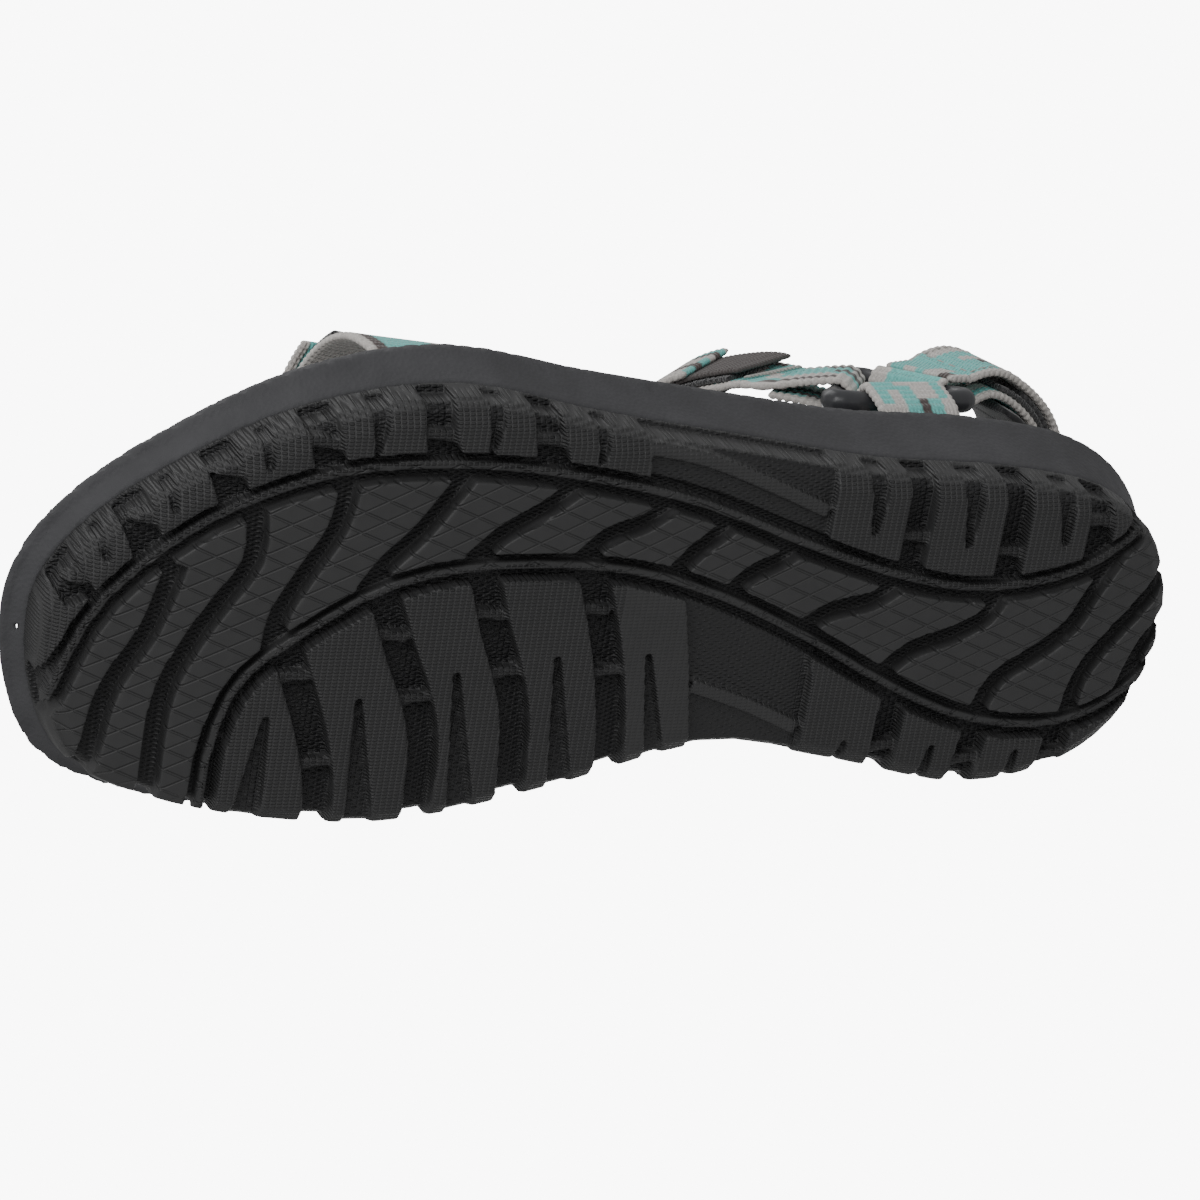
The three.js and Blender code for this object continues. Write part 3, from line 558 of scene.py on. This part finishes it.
def make_rings():
    """The moulded triangular rings, their bars full and round."""
    for side in ("lateral", "medial"):
        mesh = remeshed(world_mesh(f"ring_{side}"), 0.4 * MM, 6)
        middle = sum((v.co for v in mesh.vertices), Vector()) / len(mesh.vertices)
        normals = [v.normal.copy() for v in mesh.vertices]
        for vertex, normal in zip(mesh.vertices, normals):
            far = (vertex.co - middle).length
            corner = min(max((far - 13 * MM) / (5 * MM), 0), 1)
            vertex.co += normal * (0.15 + 0.45 * corner) * MM
        finish_piece(f"ring_plastic_{side}", mesh, "ring_plastic", ROOT, [f"ring_{side}"])


make_outsole()
make_midsole()
make_footbed()
make_rings()


# ---- Webbing, tapes and pads ------------------------------------------------------------------

def stations_of(node, width, thickness):
    """The sections that a CAD ribbon was swept through, in order: centre, direction across, outward face."""
    bm = bmesh.new()
    mesh = world_mesh(node)
    bm.from_mesh(mesh)
    bpy.data.meshes.remove(mesh)
    bmesh.ops.remove_doubles(bm, verts=bm.verts, dist=0.002 * MM)
    exact = 0.012 * MM
    spans = [e for e in bm.edges if abs(e.calc_length() - width) < exact]
    middles = [(e.verts[0].co + e.verts[1].co) / 2 for e in spans]
    stations = []
    owner = {}
    used = set()
    for i, e in enumerate(spans):
        if i in used:
            continue
        for j in range(i + 1, len(spans)):
            apart = middles[j] - middles[i]
            way = (e.verts[1].co - e.verts[0].co) / width
            if j not in used and abs(apart.length - thickness) < exact and abs(apart.dot(way)) < exact:
                for v in (*e.verts, *spans[j].verts):
                    owner[v.index] = len(stations)
                stations.append(((middles[i] + middles[j]) / 2, way, apart / thickness))
                used.update((i, j))
                break
    joined = {i: set() for i in range(len(stations))}
    bm.verts.ensure_lookup_table()
    for e in bm.edges:
        a, b = (owner.get(v.index) for v in e.verts)
        if a is not None and b is not None and a != b:
            joined[a].add(b)
            joined[b].add(a)
    bm.free()
    ends = [i for i, near in joined.items() if len(near) == 1]
    order = [min(ends)]
    while True:
        onward = [i for i in joined[order[-1]] if i not in order]
        if not onward:
            break
        order.append(onward[0])
    return [stations[i] for i in order]


def along_ribbon(stations, step):
    """Even samples along a ribbon: place, way along, across and outward directions, run so far."""
    centres = [s[0] for s in stations]
    across = [stations[0][1]]
    for _, way, _ in stations[1:]:
        across.append(way if way.dot(across[-1]) > 0 else -way)
    fine = []
    spans = len(centres) - 1
    for i in range(spans):
        a = centres[max(i - 1, 0)] if i else centres[0] * 2 - centres[1]
        b, c = centres[i], centres[i + 1]
        d = centres[i + 2] if i + 2 <= spans else c * 2 - b
        parts = max(2, int((c - b).length / (0.4 * MM)))
        for k in range(parts + (i == spans - 1)):
            t = k / parts
            place = 0.5 * (2 * b + (c - a) * t + (2 * a - 5 * b + 4 * c - d) * t * t
                           + (3 * b - a - 3 * c + d) * t ** 3)
            fine.append((place, across[i].lerp(across[i + 1], t).normalized()))
    runs = [0.0]
    for (p, _), (q, _) in zip(fine, fine[1:]):
        runs.append(runs[-1] + (q - p).length)
    total = runs[-1]
    count = max(3, round(total / step))
    samples = []
    j = 0
    for i in range(count + 1):
        run = total * i / count
        while j < len(runs) - 2 and runs[j + 1] < run:
            j += 1
        t = (run - runs[j]) / max(runs[j + 1] - runs[j], 1e-9)
        place = fine[j][0].lerp(fine[j + 1][0], t)
        samples.append([place, None, fine[j][1].lerp(fine[j + 1][1], t).normalized(), None, run])
    for i, s in enumerate(samples):
        before, after = samples[max(i - 1, 0)][0], samples[min(i + 1, count)][0]
        s[1] = (after - before).normalized()
        s[2] = (s[2] - s[1] * s[2].dot(s[1])).normalized()
        s[3] = s[1].cross(s[2]).normalized()
    half = samples[len(samples) // 2]
    centre = Vector((half[0].x, FOOT_Y, FOOT_Z))
    if half[3].dot(half[0] - centre) < 0:
        for s in samples:
            s[3] = -s[3]
            s[2] = -s[2]
    return samples


def swept(samples, columns, section):
    """A closed skin over samples. section(sample, w, side) gives the height of a face at share w across."""
    vertices, faces, facts = [], [], []
    ring = 2 * columns
    for s in samples:
        place, _, across, out, run = s
        for k in range(ring):
            side = 1 if k < columns else -1
            j = k if k < columns else ring - 1 - k
            w = -math.cos(math.pi * (j + 0.5) / columns) * 0.35 + (2 * (j + 0.5) / columns - 1) * 0.65
            width, height = section(s, w, side)
            vertices.append(place + across * (w * width) + out * height)
            facts.append((run, w * width, w, side))
    for i in range(len(samples) - 1):
        for k in range(ring):
            a = i * ring + k
            b = i * ring + (k + 1) % ring
            faces.append((a, b, b + ring, a + ring))
    last = (len(samples) - 1) * ring
    for j in range(columns - 1):
        faces.append((j + 1, j, ring - 1 - j, ring - 2 - j))
        faces.append((last + j, last + j + 1, last + ring - 2 - j, last + ring - 1 - j))
    return vertices, faces, facts


TURQUOISE = (0.24, 0.74, 0.69)
LIGHT = (0.76, 0.72, 0.68)
TAUPE = (0.13, 0.105, 0.1)
TAB_GREY = (0.13, 0.115, 0.112)
SELVAGE = 0.86           # share of the half width where the plain edge starts
TAB_RIB = 1.2 * MM       # from one rib of the grosgrain to the next


class Jacquard:
    """Lengthwise stripes that change colour after uneven lengths, between two light selvages."""

    def __init__(self, seed, length):
        draw = random.Random(seed)
        self.edges = [-1.0, -SELVAGE]
        while self.edges[-1] < 0.7:
            self.edges.append(self.edges[-1] + draw.uniform(0.2, 0.36))
        self.edges[-1] = SELVAGE
        self.stripes = []
        for band in range(len(self.edges) - 1):
            changes, colours = [], []
            run = -draw.uniform(0, 18) * MM
            last = None
            while run < length:
                run += draw.uniform(9, 30) * MM
                changes.append(round(run / RIB) * RIB)
                last = draw.choice([c for c in (TURQUOISE, TURQUOISE, LIGHT, LIGHT, TAUPE) if c is not last])
                colours.append(last)
            self.stripes.append((changes, colours))

    def colour(self, run, w):
        if abs(w) > SELVAGE:
            return LIGHT
        band = 0
        while band < len(self.edges) - 2 and w > self.edges[band + 1]:
            band += 1
        changes, colours = self.stripes[band]
        for change, colour in zip(changes, colours):
            if run < change:
                return colour
        return colours[-1]


def woven(name, node, slot, body, width, thickness, seed=0, colour=None, rib=RIB):
    """Ribbed webbing or grosgrain over a CAD ribbon, with rounded selvages and weft ribs."""
    step = rib / 4
    samples = along_ribbon(stations_of(node, width, thickness), step)
    length = samples[-1][4]
    pattern = Jacquard(seed, length)

    def section(s, w, side):
        edge = min(1.0, (1 - abs(w)) / 0.09)
        body_height = thickness / 2 * (0.35 + 0.65 * math.sqrt(edge))
        ridge = abs(math.sin(math.pi * s[4] / rib)) - 0.5
        relief = 0.34 * MM * ridge * edge
        near_end = min(s[4], length - s[4])
        pinch = min(1.0, 0.6 + near_end / (1.2 * MM) * 0.4)
        return (width / 2 - 0.25 * MM + 0.25 * MM * ridge, side * (body_height * pinch + relief))

    columns = 40
    vertices, faces, facts = swept(samples, columns, section)
    piece = mesh_piece(name, vertices, faces, slot, body, [node])
    yarn = piece.data.attributes.new("yarn", "FLOAT_COLOR", "POINT")
    weave = piece.data.attributes.new("weave", "FLOAT_VECTOR", "POINT")
    tones = []
    places = []
    for run, sideways, w, side in facts:
        tone = colour or pattern.colour(run + (0.3 * RIB if side < 0 else 0), w)
        tones.extend((*tone, 1.0))
        places.extend((run, sideways, 0.0))
    yarn.data.foreach_set("color", tones)
    weave.data.foreach_set("vector", places)
    return piece, samples


def tape(name, node, slot, body, width, rough_height, pitch):
    """Hook or loop tape: a flat backing whose working face stands up in small tufts."""
    samples = along_ribbon(stations_of(node, width, TAPE), 0.5 * MM)
    working = 1 if slot == "loop_tape" else -1

    def section(s, w, side):
        place = s[0] + s[2] * (w * width / 2)
        tuft = noise.noise(place / pitch) * rough_height if side == working else 0.0
        edge = math.sqrt(min(1.0, (1 - abs(w)) / 0.06))
        return (width / 2, side * (TAPE / 2 * (0.4 + 0.6 * edge)) + side * abs(tuft) * edge)

    vertices, faces, _ = swept(samples, 34, section)
    return mesh_piece(name, vertices, faces, slot, body, [node])


def pad(name, node, width, thickness):
    """Foam padding in a knitted lining, crowned on the foot's side and quilted across."""
    samples = along_ribbon(stations_of(node, width, thickness), 0.8 * MM)
    length = samples[-1][4]

    def section(s, w, side):
        rim = max(0.0, 1 - abs(w) ** 2.6) ** 0.5
        end = min(1.0, min(s[4], length - s[4]) / (5 * MM)) ** 0.5
        quilt = 0.35 * max(0.0, 1 - abs((s[4] / (14 * MM)) % 1 - 0.5) / 0.07)
        full = rim * (0.35 + 0.65 * end) * (1 - quilt * (side < 0))
        return (width / 2 * (0.93 + 0.07 * end), side * thickness / 2 * (0.16 + 0.84 * full))

    vertices, faces, _ = swept(samples, 20, section)
    piece = mesh_piece(name, vertices, faces, "lining", ROOT, [node])
    return piece


# ---- Stitching --------------------------------------------------------------------------------

class Stitches:
    """Gathers short thread stitches into one mesh."""

    def __init__(self):
        self.vertices = []
        self.faces = []

    def add(self, start, end, out, radius=0.24 * MM):
        along = (end - start).normalized()
        side = along.cross(out).normalized()
        first = len(self.vertices)
        sides = 6
        for share, swell in ((0.0, 0.35), (0.12, 0.85), (0.5, 1.0), (0.88, 0.85), (1.0, 0.35)):
            lift = out * radius * (0.6 * math.sin(math.pi * share) - 0.2)
            centre = start.lerp(end, share) + lift
            for k in range(sides):
                angle = 2 * math.pi * k / sides
                spoke = side * math.cos(angle) + out * math.sin(angle)
                self.vertices.append(centre + spoke * radius * swell)
        for ring in range(4):
            for k in range(sides):
                a = first + ring * sides + k
                b = first + ring * sides + (k + 1) % sides
                self.faces.append((a, b, b + sides, a + sides))
        self.faces.append(tuple(first + k for k in reversed(range(sides))))
        self.faces.append(tuple(first + 4 * sides + k for k in range(sides)))

    def row(self, samples, offset, lift, start, end, pitch=3.0 * MM, length=2.3 * MM):
        """A row of stitches along a ribbon, offset from its middle, on its outer face."""
        run = start
        while run + length < end:
            a, b = at_run(samples, run), at_run(samples, run + length)
            self.add(a[0] + a[2] * offset + a[3] * lift, b[0] + b[2] * offset + b[3] * lift, a[3])
            run += pitch

    def cross_row(self, samples, run, half_width, lift):
        """A row of stitches straight across a ribbon."""
        s = at_run(samples, run)
        count = max(2, int(2 * half_width / (3.0 * MM)))
        for k in range(count):
            w = -half_width + 2 * half_width * (k + 0.15) / count
            x = -half_width + 2 * half_width * (k + 0.85) / count
            self.add(s[0] + s[2] * w + s[3] * lift, s[0] + s[2] * x + s[3] * lift, s[3])

    def piece(self, name, body, replaced=()):
        return mesh_piece(name, self.vertices, self.faces, "thread", body, replaced)


def at_run(samples, run):
    step = samples[1][4] - samples[0][4]
    index = min(max(int(run / step), 0), len(samples) - 1)
    return samples[index]


def bar_tack(name, node, width):
    """A close zigzag of thread where a webbing end is sewn down."""
    samples = along_ribbon(stations_of(node, width, TACK), 0.4 * MM)
    threads = Stitches()
    count = 15
    first, last = samples[0], samples[-1]
    for k in range(count):
        a = first[2] * (width * ((k + 0.2) / count - 0.5))
        b = last[2] * (width * ((k + 0.75) / count - 0.5))
        sunk = first[3] * 0.2 * MM
        threads.add(first[0] + a - sunk, last[0] + b - sunk, first[3], 0.32 * MM)
    return threads.piece(name, ROOT, [node])


LIFT = WEBBING / 2 + 0.05 * MM


def sewn_edges(samples, width, name, body, start_share, end_share):
    """Two rows along the edges and one across each end hold a tape on the webbing."""
    threads = Stitches()
    length = samples[-1][4]
    start, end = length * start_share, length * end_share
    for sign in (-1, 1):
        threads.row(samples, sign * (width / 2 - 2.4 * MM), LIFT, start, end)
    threads.cross_row(samples, start, width / 2 - 2.6 * MM, LIFT)
    threads.cross_row(samples, end, width / 2 - 2.6 * MM, LIFT)
    threads.piece(name, body)


def make_tapes(name, mover, width):
    """The loop tape on a strap, the hook tape under its adjusting end, and the pull tab."""
    tape(f"{name}_loop_tape", f"{name}_loop_patch", "loop_tape", ROOT, width["loop"], 0.5 * MM, 0.8 * MM)
    tape(f"{name}_hook_tape", f"{name}_hook_patch", "hook_tape", mover, width["hook"], 0.3 * MM, 0.7 * MM)
    woven(f"{name}_tab", f"{name}_pull_tab", "grosgrain", mover, width["tab"], TAPE,
          colour=TAB_GREY, rib=TAB_RIB)


def make_straps():
    for side, seed in (("lateral", 11), ("medial", 12)):
        woven(f"quarter_webbing_{side}", f"quarter_strap_{side}", "webbing", ROOT, NARROW, WEBBING, seed)
    for side, seed in (("lateral", 21), ("medial", 22)):
        woven(f"toe_webbing_{side}", f"toe_strap_{side}", "webbing", ROOT, WIDE, WEBBING, seed)
    _, toe = woven("toe_adjusting_end", "toe_tail", "webbing", "toe_adjuster", WIDE, WEBBING, 23)
    sewn_edges(toe, WIDE, "toe_stitching", "toe_adjuster", 0.22, 0.93)
    make_tapes("toe", "toe_adjuster", {"loop": WIDE - 3 * MM, "hook": WIDE - 4 * MM, "tab": WIDE - 7 * MM})
    for strap, seeds in (("instep", (31, 32)), ("heel", (41, 42))):
        mover = f"{strap}_adjuster"
        woven(f"{strap}_webbing", f"{strap}_strap", "webbing", ROOT, NARROW, WEBBING, seeds[0])
        _, end = woven(f"{strap}_adjusting_end", f"{strap}_tail", "webbing", mover, NARROW, WEBBING, seeds[1])
        sewn_edges(end, NARROW, f"{strap}_stitching", mover, 0.2, 0.94)
        make_tapes(strap, mover, {"loop": NARROW - 2 * MM, "hook": NARROW - 3 * MM, "tab": NARROW - 3 * MM})
        pad(f"{strap}_padding", f"{strap}_pad", NARROW + 5 * MM, PAD)
        bar_tack(f"{strap}_tack", f"{strap}_bar_tack", NARROW - 4 * MM)


make_straps()
